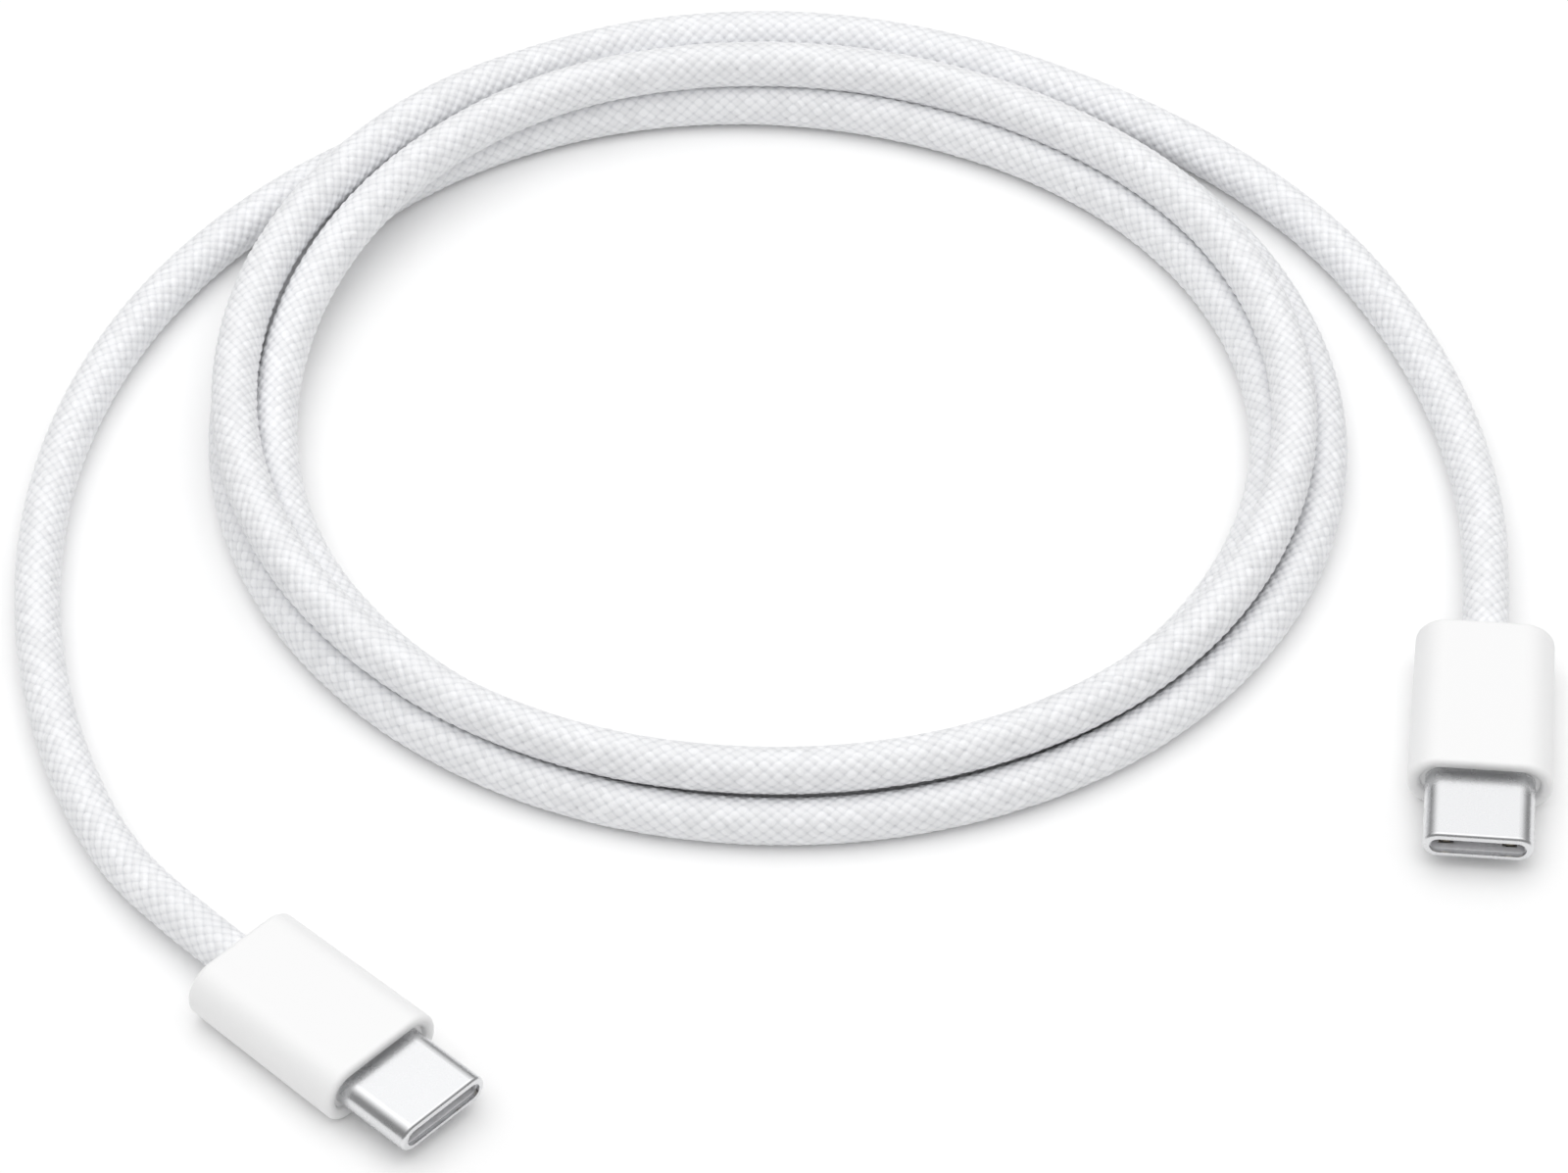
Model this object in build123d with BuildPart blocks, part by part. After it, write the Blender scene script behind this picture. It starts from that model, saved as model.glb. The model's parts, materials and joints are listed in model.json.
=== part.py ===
from build123d import *
from math import atan2, degrees, pi, radians, tan
import os

# A one-metre charging cable with a woven jacket, coiled three times round, with the same
# flat reversible plug on both ends. Millimetres, +Z up, everything lies on Z = 0.

# Cable make-up
cable_d = 3.5
woven_wall = 0.45            # woven sleeve over the soft core
shield_wall = 0.15           # braided shield, folded back over the core
ferrule_wall = 0.15
power_wire_d = 0.9
config_wire_d = 0.44
data_wire_d = 0.54
wire_room = 1.4              # between the bared core and the board
wire_lead = 0.35             # straight out of the core and straight onto the board
pad_length = 0.7
power_pad_offset = 2.3       # each from the middle line
data_pad_offset = 1.1

# Plug housing, measured along the plug from its cable end
housing_length = 14.95
housing_width = 10.9         # at the mouth
housing_back_width = 10.5    # moulding draft
housing_thick = 4.9
housing_corner = 2.35
housing_wall = 0.7
back_wall = 2.0              # holds the end of the woven jacket
back_round = 0.45
mouth_round = 0.4
mouth_inner_round = 0.28
cable_hole_gap = 0.06        # round the cable where it enters

# Drawn steel connector shell
shell_width = 8.25
shell_thick = 2.4
shell_reach = 6.3            # how far it stands out of the housing
shell_grip = 4.6             # how far it runs back into the housing
shell_wall = 0.3
rim_depth = 0.28             # the turned-in rim at its mouth
rim_opening_width = 7.2
rim_opening_thick = 1.4
rim_round = 0.27

# Inside the shell
slot_width = 6.9
slot_thick = 1.0
slide_gap = 0.02             # clearance between pieces that slide together
seat_gap = 0.05              # clearance between pieces that only lie together
contact_pitch = 0.5
contact_width = 0.25
contact_thick = 0.12
contact_dip = 0.17           # how far a contact's bump stands into the slot
contact_clear = 0.15         # from the tip of a contact to the springs in front of it
contact_tail = 1.4           # soldered to the board behind the carrier
contact_rise = 0.8           # from the tip back to where the bump starts
upper_places = (-5.5, -4.5, -1.5, -0.5, 0.5, 4.5, 5.5)
lower_places = (-5.5, -4.5, 1.5, 4.5, 5.5)
latch_thick = 0.2
latch_arm_width = 0.2
latch_hook = 0.27
latch_arm_length = 4.3
carrier_length = 4.7
spring_thick = 0.1
spring_seat_length = 3.2
finger_width = 0.5
finger_offset = 2.35         # each finger from the middle line
finger_dip = 0.32            # how far its bump stands into the slot
window_length = 1.6
window_width = 1.1
front_margin = 0.5           # insulator in front of the windows

# Board and its parts
board_thick = 0.7
board_width = 7.8
board_corner = 0.5
chip_side = 1.7
chip_height = 0.45
capacitor_length = 1.0
capacitor_width = 0.5
capacitor_height = 0.4
capacitor_offset = 2.6       # each from the middle line
capacitor_gap = 0.3          # behind the tails of the contacts

# Shield can, inner mould and nose ring
can_clear = 0.1              # between the can and the housing
can_wall = 0.15
can_collar = 1.2             # its neck, which grips the shell
can_overlap = 0.5            # how far the shell runs into the can before its neck
nose_depth = 2.3
nose_recess = 0.45           # the ring stands back from the housing's mouth
core_length = 1.9            # bared core past the jacket

# Coil: two strands side by side on the floor, one on top between them
coil_centre = (-8.25, 49.05)
inner_strand_radius = 38.4
outer_strand_radius = 42.0
top_strand_radius = 40.3
top_strand_lift = 3.05       # above the floor strands
crossing_lift = 3.65         # where one loose end crosses the other

# Route of the loose stretches, as X, Y and height of the cable's middle line
floor = cable_d / 2
axis_height = housing_thick / 2
first_tail = (
    (-46.0, -8.95, axis_height),
    (-51.4, -3.8, axis_height),
    (-57.0, 3.0, floor),
    (-60.8, 11.0, floor),
    (-63.6, 20.5, floor),
    (-65.0, 31.0, floor),
    (-64.6, 42.0, floor),
    (-62.2, 52.5, floor),
    (-57.9, 62.3, floor),
    (-51.5, 71.3, floor),
    (-43.0, 79.0, floor),
    (-33.8, 83.7, floor),
)
second_tail = (
    (-45.0, 70.3, floor + top_strand_lift),
    (-40.8, 77.6, floor + crossing_lift),
    (-33.6, 84.1, floor + crossing_lift),
    (-25.9, 89.8, floor + crossing_lift / 2),
    (-17.0, 94.3, floor),
    (-5.2, 94.8, floor),
    (6.7, 91.9, floor),
    (17.5, 86.4, floor),
    (27.2, 79.3, floor),
    (35.0, 71.0, floor),
    (40.5, 61.5, floor),
    (44.3, 51.0, floor),
    (46.0, 41.0, floor),
    (46.0, 31.8, axis_height),
    (45.2, 22.7, axis_height),
)

# Stations along the plug
mouth = housing_length
jacket_stop = back_wall + seat_gap
tip = mouth + shell_reach
shell_back = mouth - shell_grip
rim_back = tip - rim_depth
carrier_front = shell_back + carrier_length
insulator_front = rim_back - slide_gap
spring_front = insulator_front - front_margin
window_back = spring_front - window_length
contact_tip = window_back - contact_clear
core_d = cable_d - 2 * woven_wall
shield_d = core_d + 2 * shield_wall
ferrule_d = shield_d + 2 * ferrule_wall
core_end = jacket_stop + core_length
can_back = core_end + 2 * seat_gap
board_back = core_end + wire_room
tail_end = shell_back - contact_tail
can_step = shell_back + can_overlap
collar_front = can_step + can_collar

os.makedirs("parts", exist_ok=True)


def across(station):
    """The plane that cuts the plug square at a station along it."""
    return Plane.YZ.offset(station)


def upright(side):
    """The plane along the plug that stands at a distance to its side."""
    return Plane.XZ.offset(-side)


def drafted_block(back, front, inset):
    """The housing's outer form between two stations, set in from its skin all round."""
    draft = (housing_width - housing_back_width) / housing_length
    half_widths = [(housing_back_width + draft * x) / 2 - inset for x in (back, front)]
    with BuildPart() as block:
        with BuildSketch(Plane.XY):
            with BuildLine():
                Polyline(
                    (back, -half_widths[0]),
                    (front, -half_widths[1]),
                    (front, half_widths[1]),
                    (back, half_widths[0]),
                    close=True,
                )
            make_face()
        extrude(amount=housing_thick / 2 - inset, both=True)
        long_edges = block.edges().filter_by(Axis.Y, reverse=True).filter_by(Axis.Z, reverse=True)
        fillet(long_edges, housing_corner - inset)
    return block.part


# Housing: one moulded sleeve, closed at the cable end, open at the mouth
outside = drafted_block(0, mouth, 0)
cavity = drafted_block(back_wall, mouth, housing_wall)
with BuildPart() as housing:
    add(outside)
    fillet(housing.faces().sort_by(Axis.X)[0].edges(), back_round)
    fillet(housing.faces().sort_by(Axis.X)[-1].edges(), mouth_round)
    add(cavity, mode=Mode.SUBTRACT)
    fillet(housing.faces().sort_by(Axis.X)[-1].inner_wires()[0].edges(), mouth_inner_round)
    with BuildSketch(across(0)):
        Circle(cable_d / 2 + cable_hole_gap)
    extrude(amount=back_wall, mode=Mode.SUBTRACT)

# Connector shell: drawn steel, its rim turned in round the mouth
with BuildPart() as connector_shell:
    with BuildSketch(across(shell_back)):
        SlotOverall(shell_width, shell_thick)
    extrude(amount=tip - shell_back)
    fillet(connector_shell.faces().sort_by(Axis.X)[-1].edges(), rim_round)
    with BuildSketch(across(shell_back)):
        SlotOverall(shell_width - 2 * shell_wall, shell_thick - 2 * shell_wall)
    extrude(amount=rim_back - shell_back, mode=Mode.SUBTRACT)
    with BuildSketch(across(rim_back)):
        SlotOverall(rim_opening_width, rim_opening_thick)
    extrude(amount=rim_depth, mode=Mode.SUBTRACT)

inside_width = shell_width - 2 * shell_wall - 2 * slide_gap
inside_thick = shell_thick - 2 * shell_wall - 2 * slide_gap

# Front insulator: lines the shell, with the slot for the mating tongue, a shallow seat for
# each ground spring and two windows under each seat's fingers
spring_back = window_back - spring_seat_length
seat_depth = spring_thick + slide_gap
spring_width = 2 * finger_offset + finger_width
with BuildPart() as front_insulator:
    with BuildSketch(across(carrier_front)):
        SlotOverall(inside_width, inside_thick)
        Rectangle(slot_width, slot_thick, mode=Mode.SUBTRACT)
    extrude(amount=insulator_front - carrier_front)
    for side in (1, -1):
        with BuildSketch(Plane.XY.offset(side * inside_thick / 2)):
            with Locations(((spring_back + window_back) / 2, 0)):
                Rectangle(window_back - spring_back, spring_width + 2 * seat_gap)
            with Locations(((window_back + spring_front) / 2, finger_offset)):
                Rectangle(window_length, window_width)
            with Locations(((window_back + spring_front) / 2, -finger_offset)):
                Rectangle(window_length, window_width)
        extrude(amount=-side * seat_depth, mode=Mode.SUBTRACT)
        with BuildSketch(Plane.XY):
            for offset_y in (finger_offset, -finger_offset):
                with Locations(((window_back + spring_front) / 2, offset_y)):
                    Rectangle(window_length, window_width)
        extrude(amount=side * inside_thick, mode=Mode.SUBTRACT)

# Ground springs: a sprung strip on each flat of the insulator, with two fingers that dip
# through its windows and touch the mating shell
spring_height = inside_thick / 2 - spring_thick / 2
finger_low = slot_thick / 2 - finger_dip
finger_path = (
    (window_back, spring_height),
    (window_back + 0.35 * window_length, spring_height),
    (window_back + 0.65 * window_length, finger_low),
    (window_back + 0.78 * window_length, finger_low),
    (window_back + 0.92 * window_length, slot_thick / 2),
)
with BuildPart() as ground_springs:
    with BuildSketch(Plane.XY.offset(spring_height - spring_thick / 2)):
        with Locations(((spring_back + window_back) / 2, 0)):
            Rectangle(window_back - spring_back - seat_gap, spring_width)
    extrude(amount=spring_thick)
    for offset_y in (finger_offset, -finger_offset):
        with BuildSketch(upright(offset_y)):
            with BuildLine():
                Polyline(*((x - seat_gap, z) for x, z in finger_path))
            trace(line_width=spring_thick)
        extrude(amount=finger_width / 2, both=True)
    mirror(about=Plane.XY)

# Contact carrier: fills the back of the shell, with a channel for each contact and a slot
# on the middle plane for the latch plate
channel_width = contact_width + slide_gap
channel_thick = contact_thick + slide_gap
contact_height = board_thick / 2 + contact_thick / 2
with BuildPart() as contact_carrier:
    with BuildSketch(across(shell_back)):
        SlotOverall(inside_width, inside_thick)
        Rectangle(slot_width, latch_thick + slide_gap, mode=Mode.SUBTRACT)
        for places, height in ((upper_places, contact_height), (lower_places, -contact_height)):
            with Locations(*((place * contact_pitch, height) for place in places)):
                Rectangle(channel_width, channel_thick, mode=Mode.SUBTRACT)
    extrude(amount=carrier_length)

# Contacts: a flat sprung strip in each channel, soldered to the board at its tail and
# bent down to a bump near its tip
contact_low = contact_height - contact_dip
contact_path = (
    (tail_end, contact_height),
    (contact_tip - 2 * contact_rise, contact_height),
    (contact_tip - contact_rise, contact_low),
    (contact_tip - 0.6 * contact_rise, contact_low),
    (contact_tip, contact_height),
)


def contact_row(places, side):
    """One row of contacts, above the board for side 1 and below it for side -1."""
    with BuildPart() as row:
        for place in places:
            with BuildSketch(upright(place * contact_pitch)):
                with BuildLine():
                    Polyline(*((x, side * z) for x, z in contact_path))
                trace(line_width=contact_thick)
            extrude(amount=contact_width / 2, both=True)
    return row


upper_contacts = contact_row(upper_places, 1)
lower_contacts = contact_row(lower_places, -1)

# Latch plate: one flat spring on the middle plane whose two hooked arms hold the mating part
plate_width = slot_width - 2 * slide_gap
arm_tip = carrier_front + latch_arm_length
with BuildPart() as latch_plate:
    with BuildSketch(Plane.XY):
        with Locations(((shell_back + carrier_front) / 2 + 0.2, 0)):
            Rectangle(carrier_length - 0.6, plate_width)
        with BuildLine():
            Polyline(
                (carrier_front - 0.5, plate_width / 2),
                (arm_tip, plate_width / 2),
                (arm_tip, plate_width / 2 - latch_arm_width),
                (arm_tip - 0.25, plate_width / 2 - latch_arm_width - latch_hook),
                (arm_tip - 0.5, plate_width / 2 - latch_arm_width - latch_hook),
                (arm_tip - 0.9, plate_width / 2 - latch_arm_width),
                (carrier_front - 0.5, plate_width / 2 - latch_arm_width),
                close=True,
            )
        make_face()
        mirror(about=Plane.XZ)
    extrude(amount=latch_thick / 2, both=True)

# Paddle board, its marker chip and two capacitors
with BuildPart() as paddle_board:
    with BuildSketch(Plane.XY.offset(-board_thick / 2)):
        with Locations(((board_back + shell_back) / 2, 0)):
            Rectangle(shell_back - board_back, board_width)
    extrude(amount=board_thick)
    chamfer(paddle_board.edges().filter_by(Axis.Z).group_by(Axis.X)[0], board_corner)

chip_station = (board_back + tail_end) / 2
with BuildPart() as marker_chip:
    with BuildSketch(Plane.XY.offset(board_thick / 2)):
        with Locations((chip_station, 0)):
            Rectangle(chip_side, chip_side)
    extrude(amount=chip_height)
    chamfer(marker_chip.faces().sort_by(Axis.Z)[-1].edges(), 0.08)

with BuildPart() as board_capacitors:
    with BuildSketch(Plane.XY.offset(-board_thick / 2)):
        station = tail_end - capacitor_gap - capacitor_length / 2
        with Locations((station, capacitor_offset), (station, -capacitor_offset)):
            Rectangle(capacitor_length, capacitor_width)
    extrude(amount=-capacitor_height)

# Shield can: two folded halves round the board, with a neck that grips the shell
with BuildPart() as can:
    can_inset = housing_wall + can_clear
    add(drafted_block(can_back, can_step, can_inset))
    hollow = drafted_block(can_back + can_wall, can_step - can_wall, can_inset + can_wall)
    add(hollow, mode=Mode.SUBTRACT)
    with BuildSketch(across(can_step - can_wall)):
        SlotOverall(shell_width + 2 * slide_gap + 2 * can_wall, shell_thick + 2 * slide_gap + 2 * can_wall)
    extrude(amount=collar_front - can_step + can_wall)
    with BuildSketch(across(can_step - can_wall)):
        SlotOverall(shell_width + 2 * slide_gap, shell_thick + 2 * slide_gap)
    extrude(amount=collar_front - can_step + can_wall, mode=Mode.SUBTRACT)
    with BuildSketch(across(can_back)):
        Circle(core_d / 2 - seat_gap)
    extrude(amount=can_wall, mode=Mode.SUBTRACT)

with BuildPart() as upper_can:
    add(can.part)
    split(bisect_by=Plane.XY, keep=Keep.TOP)

with BuildPart() as lower_can:
    add(can.part)
    split(bisect_by=Plane.XY, keep=Keep.BOTTOM)

# Nose ring: seals the mouth round the shell, a step back from the housing's rim
nose_front = mouth - nose_recess
with BuildPart() as nose_ring:
    add(drafted_block(nose_front - nose_depth, nose_front, housing_wall + slide_gap))
    with BuildSketch(across(nose_front - nose_depth)):
        SlotOverall(shell_width + 2 * slide_gap, shell_thick + 2 * slide_gap)
    extrude(amount=nose_depth, mode=Mode.SUBTRACT)

# Inner mould: locks the crimped cable into the cable end of the housing
mould_front = can_back - seat_gap
with BuildPart() as inner_mould:
    add(drafted_block(jacket_stop, mould_front, housing_wall + slide_gap))
    with BuildSketch(across(jacket_stop)):
        Circle(ferrule_d / 2 + slide_gap)
    extrude(amount=mould_front - jacket_stop, mode=Mode.SUBTRACT)

# Cable end: bared core, the shield folded back over it and the ring crimped round both
with BuildPart() as core_stub:
    with BuildSketch(across(jacket_stop)):
        Circle(core_d / 2)
    extrude(amount=core_length)

with BuildPart() as shield_stub:
    with BuildSketch(across(jacket_stop + 0.15)):
        Circle(shield_d / 2)
        Circle(core_d / 2, mode=Mode.SUBTRACT)
    extrude(amount=core_length - 0.3)

with BuildPart() as crimp_ring:
    with BuildSketch(across(jacket_stop + 0.25)):
        Circle(ferrule_d / 2)
        Circle(shield_d / 2, mode=Mode.SUBTRACT)
    extrude(amount=core_length - 0.5)


def wire(diameter, start, pads):
    """Insulated wires from the bared core to their pads; start and pads are (Y, Z) pairs."""
    with BuildPart() as wires:
        for (from_y, from_z), (to_y, to_z) in zip(start, pads):
            with BuildLine():
                Polyline(
                    (core_end, from_y, from_z),
                    (core_end + wire_lead, from_y, from_z),
                    (board_back + wire_lead, to_y, to_z),
                    (board_back + wire_lead + pad_length, to_y, to_z),
                )
            with BuildSketch(across(core_end)):
                with Locations((from_y, from_z)):
                    Circle(diameter / 2)
            sweep(transition=Transition.RIGHT)
    return wires


power_height = board_thick / 2 + power_wire_d / 2 + slide_gap
config_height = -board_thick / 2 - config_wire_d / 2 - slide_gap
data_height = -board_thick / 2 - data_wire_d / 2 - slide_gap
power_wire = wire(power_wire_d, [(0.58, 0.45)], [(power_pad_offset, power_height)])
ground_wire = wire(power_wire_d, [(-0.58, 0.45)], [(-power_pad_offset, power_height)])
config_wire = wire(config_wire_d, [(0.0, -0.3)], [(0.0, config_height)])
data_pads = [(-data_pad_offset, data_height), (data_pad_offset, data_height)]
data_wires = wire(data_wire_d, [(-0.38, -0.72), (0.38, -0.72)], data_pads)

# Coil: the outer shape of three turns, as one closed ring
with BuildPart() as coil:
    with BuildSketch(Plane(origin=(*coil_centre, floor), x_dir=(1, 0, 0), z_dir=(0, -1, 0))):
        for radius, lift in (
            (inner_strand_radius, 0),
            (outer_strand_radius, 0),
            (top_strand_radius, top_strand_lift),
        ):
            with Locations((radius, lift)):
                Circle(cable_d / 2)
        make_hull()
    revolve(axis=Axis((*coil_centre, 0), (0, 0, 1)))


def bend_radii(points):
    """The largest even arc at each corner of a route: 0.45 of its shorter run."""
    corners = [Vector(*point) for point in points]
    radii = []
    for before, here, after in zip(corners, corners[1:], corners[2:]):
        turn = radians((here - before).get_angle(after - here))
        radii.append(0.45 * min((here - before).length, (after - here).length) / tan(turn / 2))
    return radii


def loose_cable(name, points):
    """A plain tube along one loose stretch of the cable."""
    radii = bend_radii(points)
    with BuildPart() as tube:
        with BuildLine():
            line = FilletPolyline(*points, radius=radii)
        with BuildSketch(Plane(line @ 0, z_dir=line % 0)):
            Circle(cable_d / 2)
        sweep()
    expected = pi * cable_d**2 / 4 * line.length
    print(name, "length", round(line.length, 1), "bends", [round(radius) for radius in radii])
    print(name, "volume", round(tube.part.volume), "of", round(expected))
    return tube


first_loose_cable = loose_cable("first_loose_cable", first_tail)
second_loose_cable = loose_cable("second_loose_cable", second_tail)

for label, piece in (
    ("coiled_cable", coil),
    ("first_loose_cable", first_loose_cable),
    ("second_loose_cable", second_loose_cable),
):
    piece.part.label = label
    export_step(piece.part, f"parts/{label}.step")

# Each plug sits on its end of the cable, in line with the cable's last run
plug_pieces = {
    "housing": housing,
    "nose_ring": nose_ring,
    "connector_shell": connector_shell,
    "front_insulator": front_insulator,
    "ground_springs": ground_springs,
    "contact_carrier": contact_carrier,
    "upper_contacts": upper_contacts,
    "lower_contacts": lower_contacts,
    "latch_plate": latch_plate,
    "paddle_board": paddle_board,
    "marker_chip": marker_chip,
    "board_capacitors": board_capacitors,
    "upper_shield_can": upper_can,
    "lower_shield_can": lower_can,
    "inner_mould": inner_mould,
    "crimp_ring": crimp_ring,
    "shield_stub": shield_stub,
    "core_stub": core_stub,
    "power_wire": power_wire,
    "ground_wire": ground_wire,
    "config_wire": config_wire,
    "data_wires": data_wires,
}
for end, (stop, before) in {"first": first_tail[:2], "second": second_tail[:-3:-1]}.items():
    heading = atan2(stop[1] - before[1], stop[0] - before[0])
    spot = Location(stop, (0, 0, degrees(heading))) * Location((-jacket_stop, 0, 0))
    for name, piece in plug_pieces.items():
        placed = piece.part.moved(spot)
        placed.label = f"{end}_{name}"
        export_step(placed, f"parts/{placed.label}.step")
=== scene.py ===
import json
import math

import bmesh
import bpy
import numpy as np
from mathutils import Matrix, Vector


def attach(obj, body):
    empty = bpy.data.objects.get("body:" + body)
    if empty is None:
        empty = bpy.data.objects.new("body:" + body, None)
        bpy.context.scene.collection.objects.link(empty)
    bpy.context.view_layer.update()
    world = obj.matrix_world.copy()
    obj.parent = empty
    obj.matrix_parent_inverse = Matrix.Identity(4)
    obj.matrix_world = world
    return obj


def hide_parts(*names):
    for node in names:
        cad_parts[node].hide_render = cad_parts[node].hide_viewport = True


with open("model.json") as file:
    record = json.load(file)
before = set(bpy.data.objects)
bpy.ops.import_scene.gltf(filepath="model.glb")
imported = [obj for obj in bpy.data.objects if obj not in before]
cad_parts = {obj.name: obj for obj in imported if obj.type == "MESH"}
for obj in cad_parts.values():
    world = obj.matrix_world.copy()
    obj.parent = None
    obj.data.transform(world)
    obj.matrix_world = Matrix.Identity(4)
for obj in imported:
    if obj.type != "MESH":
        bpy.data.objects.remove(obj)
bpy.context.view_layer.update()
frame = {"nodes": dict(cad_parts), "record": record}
nodes = frame["nodes"]

# The view. The cable lies on a table and is looked down on from the plugs' side, from well
# back and with a long lens, so that the near and far sides of the coil keep almost one scale.
view_distance = 0.6015
view_elevation = math.radians(45.8)
view_target = Vector((-0.00775, 0.03295, 0.0))
camera = bpy.data.objects.new("camera", bpy.data.cameras.new("camera"))
bpy.context.scene.collection.objects.link(camera)
camera.data.sensor_width = 36
camera.data.lens = 180
camera.data.clip_start = 0.01
camera.data.clip_end = 20
toward_camera = Vector((0, -math.cos(view_elevation), math.sin(view_elevation)))
camera.location = view_target + view_distance * toward_camera
camera.rotation_euler = toward_camera.to_track_quat("Z", "Y").to_euler()
bpy.context.scene.camera = camera
bpy.context.scene.view_settings.view_transform = "Standard"

# The cable. A woven jacket, 3.5 mm thick, over a soft core, one metre long from plug to plug.
# Its route is given from each plug to the coil, and winds three times round in between:
# two strands side by side on the table and one on top, its last turn leaving over the first.
cable_d = 0.0035
cable_r = cable_d / 2
plug_axis_height = 0.00245
first_tail = [
    (-0.0460, -0.00895, plug_axis_height),
    (-0.0514, -0.0038, plug_axis_height),
    (-0.0570, 0.0030, cable_r),
    (-0.0608, 0.0110, cable_r),
    (-0.0636, 0.0205, cable_r),
    (-0.0650, 0.0310, cable_r),
    (-0.0646, 0.0420, cable_r),
    (-0.0622, 0.0525, cable_r),
    (-0.0579, 0.0623, cable_r),
    (-0.0515, 0.0713, cable_r),
    (-0.0430, 0.0790, cable_r),
    (-0.0338, 0.0837, cable_r),
]
second_tail = [
    (-0.0259, 0.0898, cable_r + 0.0015),
    (-0.0170, 0.0943, cable_r),
    (-0.0052, 0.0948, cable_r),
    (0.0067, 0.0919, cable_r),
    (0.0175, 0.0864, cable_r),
    (0.0272, 0.0793, cable_r),
    (0.0350, 0.0710, cable_r),
    (0.0405, 0.0615, cable_r),
    (0.0443, 0.0510, cable_r),
    (0.0460, 0.0410, cable_r),
    (0.0460, 0.0318, plug_axis_height),
    (0.0452, 0.0227, plug_axis_height),
]
coil_centre = (-0.00825, 0.04905)
# How the turns lie: degrees round the coil, falling as the cable runs on, then the strand's
# radius in millimetres and its height above the table strands, in cable thicknesses.
lay = [
    (115, 42.3, 0), (60, 41.1, 0), (30, 41.5, 0), (0, 42.55, 0), (-25, 43.1, 0), (-50, 42.85, 0),
    (-90, 42.1, 0), (-135, 42.3, 0), (-180, 42.7, 0), (-212, 41.6, 0), (-240, 38.9, 0),
    (-270, 36.7, 0), (-295, 36.1, 0), (-325, 37.2, 0), (-360, 38.6, 0), (-405, 38.6, 0),
    (-450, 38.2, 0), (-490, 38.3, 0), (-520, 39.2, 0.1), (-545, 39.1, 0.35), (-570, 39.0, 0.8),
    (-600, 38.9, 1.0), (-630, 37.9, 0.92), (-660, 38.0, 0.82), (-690, 39.3, 0.85),
    (-720, 40.1, 0.9), (-765, 40.75, 0.9), (-810, 39.8, 0.9), (-850, 40.7, 0.9),
    (-885, 41.9, 0.97), (-905, 42.3, 0.97), (-925, 42.8, 0.97), (-945, 42.9, 1.0),
    (-960, 42.9, 0.95),
]
turn_step = 15
turn_angles = np.arange(lay[0][0], lay[-1][0], -turn_step)
knots = -np.array([a for a, _, _ in lay], float)
strand_radii = np.interp(-turn_angles, knots, [radius for _, radius, _ in lay]) / 1000
strand_radii /= math.cos(math.radians(turn_step / 2))
strand_heights = np.interp(-turn_angles, knots, [lift for _, _, lift in lay]) * cable_d
turns = [
    (
        coil_centre[0] + radius * math.cos(math.radians(angle)),
        coil_centre[1] + radius * math.sin(math.radians(angle)),
        cable_r + height,
    )
    for angle, radius, height in zip(turn_angles, strand_radii, strand_heights)
]
route = first_tail + turns + second_tail
line = bpy.data.curves.new("cable_line", "CURVE")
line.dimensions = "3D"
line.resolution_u = 24
spline = line.splines.new("NURBS")
spline.points.add(len(route) - 1)
for point, place in zip(spline.points, route):
    point.co = (*place, 1)
spline.order_u = 3
spline.use_endpoint_u = True
line_object = bpy.data.objects.new("cable_line", line)
line_mesh = bpy.data.meshes.new_from_object(line_object)
path = np.array([vertex.co for vertex in line_mesh.vertices])
bpy.data.objects.remove(line_object)
bpy.data.meshes.remove(line_mesh)
bpy.data.curves.remove(line)
along = np.concatenate([[0], np.cumsum(np.linalg.norm(np.diff(path, axis=0), axis=1))])

# The weave: twelve yarns wind each way round the cable, over one and under one. The mesh
# follows the yarns, four steps to a crossing, so its ridges and grooves are the real ones.
yarns = 12
repeat = 0.00105
steps = 4
fluff = 0.00006  # how far the highest crests stand proud of the cable's even thickness
yarn_rise = 0.00012
weave_rise = 0.00008
yarn_drift = 0.08  # how far a slack yarn strays sideways, in yarn spacings
yarn_narrowness = 1.9
crest_flatness = 1.4
tight_rise = 0.8  # a tight yarn's share of the rise, and what a slack one adds to it
slack_rise = 0.4
ring_gap = repeat / (2 * steps)
ring_count = int(along[-1] / ring_gap)
ring_size = yarns * steps
ring_places = np.linspace(0, along[-1], ring_count)
centres = np.stack([np.interp(ring_places, along, path[:, i]) for i in range(3)], axis=1)
forward = np.gradient(centres, axis=0)
forward /= np.linalg.norm(forward, axis=1, keepdims=True)
upward = np.array([0.0, 0.0, 1.0]) - forward[:, 2:] * forward
upward /= np.linalg.norm(upward, axis=1, keepdims=True)
sideways = np.cross(upward, forward)
ring = np.arange(ring_count)[:, None]
around = 2 * np.arange(ring_size)[None, :] + ring % 2


def yarn_height(own, crossed, over, looseness):
    """A yarn's height and slack: own counts yarns across it, crossed those that it meets."""
    yarn = np.round(own)
    stretch = np.round((np.abs(crossed - yarn)) / 2).astype(int)
    slack = looseness[yarn.astype(int) % yarns, stretch]
    across = np.abs(own - yarn + yarn_drift * (slack - 0.5))
    wave = over * np.cos(math.pi * (crossed - yarn))
    hump = np.sqrt(np.clip(1 - (yarn_narrowness * across) ** 2, 0, 1))
    rise = weave_rise * (tight_rise + slack_rise * slack)
    return yarn_rise * hump + rise * np.sin(crest_flatness * wave), slack


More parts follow.
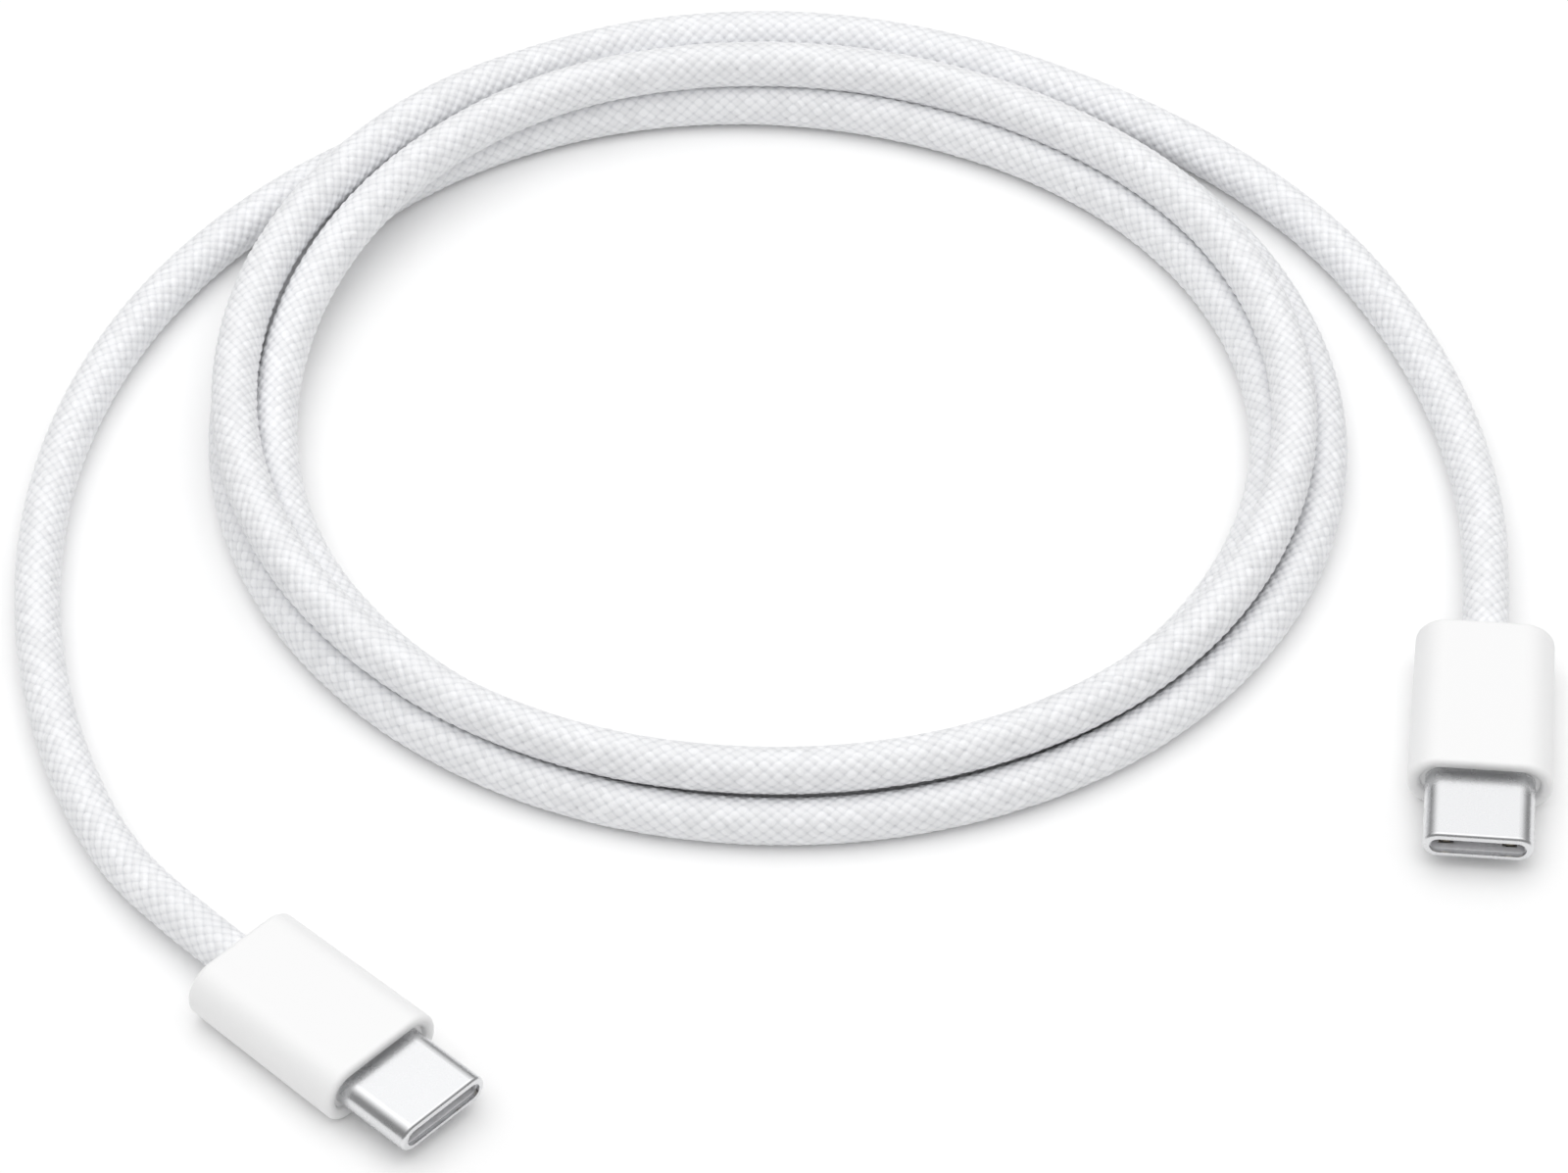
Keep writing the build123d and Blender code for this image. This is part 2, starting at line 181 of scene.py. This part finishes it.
weaver = np.random.default_rng(5)
right_slack = weaver.random((yarns, ring_count // steps))
left_slack = weaver.random((yarns, ring_count // steps))
right_lean = (around - ring) / (2 * steps)
left_lean = (around + ring) / (2 * steps)
right_height, _ = yarn_height(right_lean, left_lean, 1, right_slack)
left_height, _ = yarn_height(left_lean, right_lean, -1, left_slack)
relief = np.maximum(right_height, left_height)
distance = cable_r + fluff - relief.max() + relief
turn = math.pi * around / ring_size
skin = (
    centres[:, None, :] + [0, 0, fluff]
    + (distance * np.cos(turn))[..., None] * sideways[:, None, :]
    + (distance * np.sin(turn))[..., None] * upward[:, None, :]
)
corner = np.arange(ring_count * ring_size).reshape(ring_count, ring_size)
even = (np.arange(ring_count - 2) % 2 == 0)[:, None]
ahead = np.where(even, corner[1:-1], np.roll(corner[1:-1], -1, axis=1))
behind = np.where(even, np.roll(corner[1:-1], 1, axis=1), corner[1:-1])
quads = np.stack([corner[:-2], ahead, corner[2:], behind], axis=-1).reshape(-1, 4)
cable_mesh = bpy.data.meshes.new("woven_cable")
cable_mesh.vertices.add(skin.size // 3)
cable_mesh.vertices.foreach_set("co", skin.astype(np.float32).ravel())
cable_mesh.loops.add(quads.size)
cable_mesh.loops.foreach_set("vertex_index", quads.astype(np.int32).ravel())
cable_mesh.polygons.add(len(quads))
cable_mesh.polygons.foreach_set("loop_start", np.arange(0, quads.size, 4, dtype=np.int32))
cable_mesh.update(calc_edges=True)
cable_mesh.shade_smooth()
# Each point also keeps how deep it lies between the yarns; the colour darkens with it, a painted
# shade in the grooves.
groove = cable_mesh.attributes.new("painted_groove_shade_depth", "FLOAT", "POINT")
groove.data.foreach_set("value", (1 - relief / relief.max()).astype(np.float32).ravel())

# Each face knows which yarn it lies on, so the fibres run along that yarn; a second map lays
# the whole skin out flat, in lengths side by side, for its finish to be stored on.
face_ring = np.repeat(np.arange(ring_count - 2), ring_size)[:, None] + np.array([[0, 1, 2, 1]])
face_around = around[:-2].reshape(-1)[:, None] + np.array([[0, 1, 0, -1]])
corner_right = (face_around - face_ring) / (2 * steps)
corner_left = (face_around + face_ring) / (2 * steps)
middle_right = corner_right.mean(axis=1, keepdims=True)
middle_left = corner_left.mean(axis=1, keepdims=True)
face_right_height, right_tone = yarn_height(middle_right, middle_left, 1, right_slack)
face_left_height, left_tone = yarn_height(middle_left, middle_right, -1, left_slack)
on_right = face_right_height > face_left_height
yarn_tone = cable_mesh.attributes.new("yarn_tone", "FLOAT", "FACE")
yarn_tone.data.foreach_set(
    "value", np.where(on_right, right_tone, left_tone).astype(np.float32).ravel()
)
fibre_map = cable_mesh.uv_layers.new(name="fibres")
left_shift = 0.37  # keeps the fibres of the two sets of yarns from matching
fibre_across = np.where(on_right, corner_right, corner_left + left_shift)
fibre_along = np.where(on_right, corner_left, corner_right)
fibre_map.uv.foreach_set(
    "vector", np.stack([fibre_across, fibre_along], axis=-1).astype(np.float32).ravel()
)
lengths = 9
strip_margin = 0.04
strip_width = 0.92
strip_rings = math.ceil(ring_count / lengths)
strip = np.repeat(np.arange(ring_count - 2), ring_size)[:, None] // strip_rings
round_share = strip_width * (face_around + 1) / (2 * ring_size + 2)
flat_u = (strip + strip_margin + round_share) / lengths
flat_v = (face_ring - strip * strip_rings + 2) / (strip_rings + 6)
flat_map = cable_mesh.uv_layers.new(name="OFBake")
flat_map.uv.foreach_set("vector", np.stack([flat_u, flat_v], axis=-1).astype(np.float32).ravel())

white_yarn = bpy.data.materials.new("white_yarn")
white_yarn.use_nodes = True
tree = white_yarn.node_tree
shader = tree.nodes["Principled BSDF"]


def node(tree, kind, **settings):
    """A new node in a material, with its properties and then its unlinked inputs set."""
    made = tree.nodes.new(kind)
    for name, value in settings.items():
        if hasattr(made, name):
            setattr(made, name, value)
        else:
            made.inputs[name.replace("_", " ")].default_value = value
    return made


# The yarn's colour goes from near white on the crests to grey at the groove bottoms, a painted
# shade in the grooves on top of the real relief; the fibres and each yarn's own tone vary at
# random.
depth = node(tree, "ShaderNodeAttribute", attribute_name="painted_groove_shade_depth")
fibres = node(tree, "ShaderNodeUVMap", uv_map="fibres")
squeeze = node(tree, "ShaderNodeMapping")
fibre_stretch = (9, 0.8, 1)
squeeze.inputs["Scale"].default_value = fibre_stretch
tree.links.new(fibres.outputs["UV"], squeeze.inputs["Vector"])
strands = node(tree, "ShaderNodeTexNoise", Scale=1.6, Detail=2.0, Roughness=0.6)
tree.links.new(squeeze.outputs["Vector"], strands.inputs["Vector"])
painted_groove_shade = node(tree, "ShaderNodeValToRGB")
painted_groove_shade.color_ramp.elements[0].position = 0.25
painted_groove_shade.color_ramp.elements[0].color = (0.97, 0.975, 0.99, 1)
painted_groove_shade.color_ramp.elements[1].position = 0.95
painted_groove_shade.color_ramp.elements[1].color = (0.73, 0.74, 0.77, 1)
tree.links.new(depth.outputs["Fac"], painted_groove_shade.inputs["Fac"])
tint = node(tree, "ShaderNodeMapRange", From_Min=0.3, From_Max=0.7, To_Min=0.95, To_Max=1.0)
tree.links.new(strands.outputs["Fac"], tint.inputs["Value"])
each = node(tree, "ShaderNodeAttribute", attribute_name="yarn_tone")
dye = node(tree, "ShaderNodeMapRange", To_Min=0.9, To_Max=1.0)
tree.links.new(each.outputs["Fac"], dye.inputs["Value"])
tones = node(tree, "ShaderNodeMath", operation="MULTIPLY")
tree.links.new(tint.outputs["Result"], tones.inputs[0])
tree.links.new(dye.outputs["Result"], tones.inputs[1])
mix = node(tree, "ShaderNodeMix", data_type="RGBA", blend_type="MULTIPLY")
mix.inputs["Factor"].default_value = 1.0
tree.links.new(painted_groove_shade.outputs["Color"], mix.inputs["A"])
tree.links.new(tones.outputs["Value"], mix.inputs["B"])
tree.links.new(mix.outputs["Result"], shader.inputs["Base Color"])
bump = node(tree, "ShaderNodeBump", Strength=0.5, Distance=0.00002)
tree.links.new(strands.outputs["Fac"], bump.inputs["Height"])
tree.links.new(bump.outputs["Normal"], shader.inputs["Normal"])
shader.inputs["Roughness"].default_value = 0.42
shader.inputs["Specular IOR Level"].default_value = 0.5
cable_mesh.materials.append(white_yarn)

cable = bpy.data.objects.new("woven_cable", cable_mesh)
bpy.context.scene.collection.objects.link(cable)
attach(cable, "root")
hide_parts("coiled_cable", "first_loose_cable", "second_loose_cable")

# The plug housings. Each is one white moulding with a fine satin spark finish, a rounded
# cable end and a soft lip round its mouth. Inside it an off-white mould grips the cable.
def grained(name, dark, light, grain_size, roughness, relief):
    """A finish whose fine grain shifts its tone and gloss a little and stands in low relief."""
    material = bpy.data.materials.new(name)
    material.use_nodes = True
    tree = material.node_tree
    shader = tree.nodes["Principled BSDF"]
    place = node(tree, "ShaderNodeTexCoord")
    grain = node(tree, "ShaderNodeTexNoise", Scale=1 / grain_size, Detail=3.0)
    tree.links.new(place.outputs["Object"], grain.inputs["Vector"])
    tone = node(tree, "ShaderNodeValToRGB")
    tone.color_ramp.elements[0].position = 0.3
    tone.color_ramp.elements[0].color = (*dark, 1)
    tone.color_ramp.elements[1].position = 0.7
    tone.color_ramp.elements[1].color = (*light, 1)
    tree.links.new(grain.outputs["Fac"], tone.inputs["Fac"])
    tree.links.new(tone.outputs["Color"], shader.inputs["Base Color"])
    gloss = node(tree, "ShaderNodeMapRange", From_Min=0.3, From_Max=0.7)
    gloss.inputs["To Min"].default_value = 0.9 * roughness
    gloss.inputs["To Max"].default_value = 1.1 * roughness
    tree.links.new(grain.outputs["Fac"], gloss.inputs["Value"])
    tree.links.new(gloss.outputs["Result"], shader.inputs["Roughness"])
    bump = node(tree, "ShaderNodeBump", Strength=relief, Distance=grain_size / 10)
    tree.links.new(grain.outputs["Fac"], bump.inputs["Height"])
    tree.links.new(bump.outputs["Normal"], shader.inputs["Normal"])
    return material


def dress(material, *pieces):
    """Gives the same piece in both plugs a finish."""
    for end in ("first", "second"):
        for piece in pieces:
            slots = nodes[f"{end}_{piece}"].data.materials
            slots.clear()
            slots.append(material)


satin_white = grained(
    "satin_white", (0.9, 0.9, 0.9), (0.915, 0.915, 0.915),
    grain_size=0.0001, roughness=0.4, relief=0.12,
)
grip_mould = grained(
    "grip_mould", (0.74, 0.74, 0.7), (0.8, 0.8, 0.76),
    grain_size=0.0003, roughness=0.5, relief=0.2,
)
dress(satin_white, "housing", "nose_ring")
dress(grip_mould, "inner_mould")

# The nose rings close the mouths round the shells. Each is moulded in the housing's white: a
# rolled rim that meets the housing's lip, then a face set back in a narrow gap round the shell.
# Half the width, half the thickness and the corner radius, of the mouth and of the shell:
mouth_opening = np.array([0.00475, 0.00175, 0.00165])
shell_outline = np.array([0.00413, 0.00121, 0.0012])
shell_reach = 0.0063
# The ring's section: the share of the way from the housing's wall to the shell, and how far
# back from the mouth, round the front of the rim, down into the gap and round the back.
ring_section = [
    (-0.5, 0.000004), (-0.42, 0.000002), (-0.34, 0.000003), (-0.24, 0.000008), (-0.12, 0.000022),
    (0.0, 0.000045), (0.1, 0.000075), (0.2, 0.000115), (0.29, 0.00017), (0.36, 0.00024),
    (0.41, 0.00033), (0.43, 0.00042), (0.43, 0.0005), (1.0, 0.0005), (1.0, 0.0009),
    (0.0, 0.0009), (0.0, 0.0004), (-0.3, 0.0002),
]
corner_steps = 25
corner_turns = np.radians(
    [
        90 * quarter + 90 * step / (corner_steps - 1)
        for quarter in range(4)
        for step in range(corner_steps)
    ]
)
corner_sides = np.repeat([[1, 1], [-1, 1], [-1, -1], [1, -1]], corner_steps, axis=0)
sharpest_smooth_edge = math.radians(50)
straight_up = np.array([0.0, 0.0, 1.0])
mates = {mount["name"]: mount for mount in frame["record"]["mounts"]}
for end in ("first", "second"):
    mate = mates[f"{end}_plug_mating_end"]
    out = np.array(mate["axis"])
    across = np.array([-out[1], out[0], 0.0])
    mouth = np.array(mate["pos_m"]) - shell_reach * out
    rings = []
    for share, back in ring_section:
        half_width, half_thick, rounding = mouth_opening + share * (shell_outline - mouth_opening)
        aside = corner_sides[:, 0] * (half_width - rounding) + rounding * np.cos(corner_turns)
        above = corner_sides[:, 1] * (half_thick - rounding) + rounding * np.sin(corner_turns)
        rings.append(
            mouth - back * out + aside[:, None] * across + above[:, None] * straight_up
        )
    count = len(corner_turns)
    ring_faces = [
        (
            i * count + k,
            i * count + (k + 1) % count,
            (i + 1) % len(rings) * count + (k + 1) % count,
            (i + 1) % len(rings) * count + k,
        )
        for i in range(len(rings))
        for k in range(count)
    ]
    ring_mesh = bpy.data.meshes.new(f"{end}_rolled_ring")
    ring_mesh.from_pydata(np.concatenate(rings).tolist(), [], ring_faces)
    shape = bmesh.new()
    shape.from_mesh(ring_mesh)
    bmesh.ops.recalc_face_normals(shape, faces=shape.faces)
    shape.to_mesh(ring_mesh)
    shape.free()
    ring_mesh.shade_smooth()
    ring_mesh.set_sharp_from_angle(angle=sharpest_smooth_edge)
    ring_mesh.materials.append(satin_white)
    rolled_ring = bpy.data.objects.new(f"{end}_rolled_ring", ring_mesh)
    bpy.context.scene.collection.objects.link(rolled_ring)
    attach(rolled_ring, "root")
    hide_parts(f"{end}_nose_ring")

# The connector shells and everything pressed from sheet metal round them: drawn steel,
# tumbled to a soft shine, with a faint fine grain in its tone and gloss.
drawn_steel = grained(
    "drawn_steel", (0.755, 0.76, 0.77), (0.77, 0.775, 0.785),
    grain_size=0.0007, roughness=0.28, relief=0.004,
)
drawn_steel.node_tree.nodes["Principled BSDF"].inputs["Metallic"].default_value = 1.0
dress(drawn_steel, "connector_shell", "latch_plate", "upper_shield_can")
dress(drawn_steel, "lower_shield_can", "crimp_ring", "shield_stub")

# The ground springs are strips of hardened spring steel in a dark straw-brown. Their fingers
# dip through the windows of the insulator just behind the rim.
dark_brown_steel = grained(
    "dark_brown_steel", (0.4, 0.36, 0.28), (0.5, 0.45, 0.36),
    grain_size=0.0005, roughness=0.32, relief=0.004,
)
dark_brown_steel.node_tree.nodes["Principled BSDF"].inputs["Metallic"].default_value = 1.0
dress(dark_brown_steel, "ground_springs")

# The insulators inside the shell: grey glass-filled plastic, dull and slightly mottled.
grey_insulator = grained(
    "grey_insulator", (0.72, 0.72, 0.74), (0.82, 0.82, 0.84),
    grain_size=0.0005, roughness=0.55, relief=0.2,
)
dress(grey_insulator, "front_insulator", "contact_carrier")

# The contacts are stamped from copper alloy and gold plated over nickel. Twelve of them sit
# in their carrier, seven above the tongue slot and five below, with their tails on the board.
gold_plate = grained(
    "gold_plate", (0.78, 0.58, 0.26), (0.86, 0.67, 0.34),
    grain_size=0.00012, roughness=0.18, relief=0.1,
)
gold_plate.node_tree.nodes["Principled BSDF"].inputs["Metallic"].default_value = 1.0
dress(gold_plate, "upper_contacts", "lower_contacts")

# The board is glass cloth in epoxy under green solder resist, and slips between the tails of
# the contacts. The chip on it is a black moulded package, the capacitors are fired ceramic.
solder_resist = grained(
    "solder_resist", (0.015, 0.13, 0.045), (0.03, 0.2, 0.08),
    grain_size=0.0004, roughness=0.22, relief=0.1,
)
chip_package = grained(
    "chip_package", (0.022, 0.022, 0.024), (0.04, 0.04, 0.042),
    grain_size=0.00008, roughness=0.5, relief=0.3,
)
fired_ceramic = grained(
    "fired_ceramic", (0.4, 0.28, 0.17), (0.56, 0.43, 0.3),
    grain_size=0.0001, roughness=0.45, relief=0.2,
)
dress(solder_resist, "paddle_board")
dress(chip_package, "marker_chip")
dress(fired_ceramic, "board_capacitors")

# The bared core and its wires: soft grey sheath, then the red supply wire, its return, the
# blue configuration wire and the green data pair, each drawn in glossy insulation.
core_sheath = grained(
    "core_sheath", (0.5, 0.5, 0.51), (0.6, 0.6, 0.61),
    grain_size=0.0003, roughness=0.55, relief=0.3,
)
red_skin = grained(
    "red_skin", (0.5, 0.02, 0.015), (0.6, 0.035, 0.025),
    grain_size=0.0005, roughness=0.3, relief=0.05,
)
grey_skin = grained(
    "grey_skin", (0.15, 0.15, 0.155), (0.2, 0.2, 0.205),
    grain_size=0.0005, roughness=0.3, relief=0.05,
)
blue_skin = grained(
    "blue_skin", (0.03, 0.09, 0.42), (0.05, 0.12, 0.5),
    grain_size=0.0005, roughness=0.3, relief=0.05,
)
green_skin = grained(
    "green_skin", (0.03, 0.32, 0.09), (0.05, 0.4, 0.12),
    grain_size=0.0005, roughness=0.3, relief=0.05,
)
dress(core_sheath, "core_stub")
dress(red_skin, "power_wire")
dress(grey_skin, "ground_wire")
dress(blue_skin, "config_wire")
dress(green_skin, "data_wires")

# The table and the light: a white sweep in a pale room with dim walls, under one soft round
# lamp that hangs above. Reflections don't show the lamp or the walls: they see a tone of
# their own, which rises from dark low down to bright overhead and gives the steel its shades.
sweep_half = 3.0
sweep_mesh = bpy.data.meshes.new("white_sweep")
sweep_corners = [(-1, -1, 0), (1, -1, 0), (1, 1, 0), (-1, 1, 0)]
sweep_mesh.from_pydata(
    [(sweep_half * x, sweep_half * y, z) for x, y, z in sweep_corners], [], [(0, 1, 2, 3)]
)
sweep = bpy.data.objects.new("white_sweep", sweep_mesh)
bpy.context.scene.collection.objects.link(sweep)
sweep_white = bpy.data.materials.new("sweep_white")
sweep_white.use_nodes = True
tree = sweep_white.node_tree
shader = tree.nodes["Principled BSDF"]
shader.inputs["Base Color"].default_value = (0.95, 0.95, 0.95, 1)
shader.inputs["Roughness"].default_value = 0.9
shader.inputs["Specular IOR Level"].default_value = 0.0
place = node(tree, "ShaderNodeTexCoord")
reach = node(tree, "ShaderNodeVectorMath", operation="LENGTH")
tree.links.new(place.outputs["Object"], reach.inputs[0])
fade = node(tree, "ShaderNodeMapRange", From_Min=0.1, From_Max=1.2, To_Min=0.02, To_Max=0.4)
tree.links.new(reach.outputs["Value"], fade.inputs["Value"])
seen = node(tree, "ShaderNodeLightPath")
lift = node(tree, "ShaderNodeMath", operation="MULTIPLY")
tree.links.new(seen.outputs["Is Camera Ray"], lift.inputs[0])
tree.links.new(fade.outputs["Result"], lift.inputs[1])
glow = node(tree, "ShaderNodeEmission")
tree.links.new(lift.outputs["Value"], glow.inputs["Strength"])
both = node(tree, "ShaderNodeAddShader")
tree.links.new(shader.outputs["BSDF"], both.inputs[0])
tree.links.new(glow.outputs["Emission"], both.inputs[1])
tree.links.new(both.outputs["Shader"], tree.nodes["Material Output"].inputs["Surface"])
sweep_mesh.materials.append(sweep_white)

room = bpy.data.worlds.new("pale_room")
bpy.context.scene.world = room
room.use_nodes = True
tree = room.node_tree
background = tree.nodes["Background"]
background.inputs["Color"].default_value = (1, 1, 1, 1)
direction = node(tree, "ShaderNodeTexCoord")
split = node(tree, "ShaderNodeSeparateXYZ")
tree.links.new(direction.outputs["Generated"], split.inputs["Vector"])
walls = node(tree, "ShaderNodeValToRGB")
stops = walls.color_ramp.elements
stops[0].position = 0.4
stops[0].color = (0.34, 0.34, 0.34, 1)
stops[1].position = 0.65
stops[1].color = (0.84, 0.84, 0.84, 1)
tree.links.new(split.outputs["Z"], walls.inputs["Fac"])
slope = node(tree, "ShaderNodeVectorMath", operation="DOT_PRODUCT")
screen_lean = (0, 0.32, 0.91)
slope.inputs[1].default_value = screen_lean
tree.links.new(direction.outputs["Generated"], slope.inputs[0])
screen = node(tree, "ShaderNodeValToRGB")
stops = screen.color_ramp.elements
stops[0].position = 0.55
stops[0].color = (0.17, 0.17, 0.175, 1)
stops[1].position = 0.93
stops[1].color = (1, 1, 1, 1)
screen_tones = ((0.76, 0.43), (0.86, 0.69), (0.885, 0.71))
for position, tone in screen_tones:
    stops.new(position).color = (tone, tone, tone, 1)
tree.links.new(slope.outputs["Value"], screen.inputs["Fac"])
bright = node(tree, "ShaderNodeMath", operation="MULTIPLY")
screen_strength = 1.6
bright.inputs[1].default_value = screen_strength
tree.links.new(screen.outputs["Color"], bright.inputs[0])
seen = node(tree, "ShaderNodeLightPath")
mirrored = node(tree, "ShaderNodeMix", data_type="FLOAT")
tree.links.new(seen.outputs["Is Glossy Ray"], mirrored.inputs["Factor"])
tree.links.new(walls.outputs["Color"], mirrored.inputs["A"])
tree.links.new(bright.outputs["Value"], mirrored.inputs["B"])
backdrop = node(tree, "ShaderNodeMix", data_type="FLOAT")
backdrop.inputs["B"].default_value = 1.0
tree.links.new(seen.outputs["Is Camera Ray"], backdrop.inputs["Factor"])
tree.links.new(mirrored.outputs["Result"], backdrop.inputs["A"])
tree.links.new(backdrop.outputs["Result"], background.inputs["Strength"])

lamp = bpy.data.objects.new("soft_lamp", bpy.data.lights.new("soft_lamp", "AREA"))
bpy.context.scene.collection.objects.link(lamp)
lamp.data.shape = "DISK"
lamp.data.size = 1.8
lamp.data.energy = 7.8
lamp.visible_glossy = False
lamp.location = (-0.05, 0.05, 1.2)
lamp.rotation_euler = (lamp.location - view_target).to_track_quat("Z", "Y").to_euler()
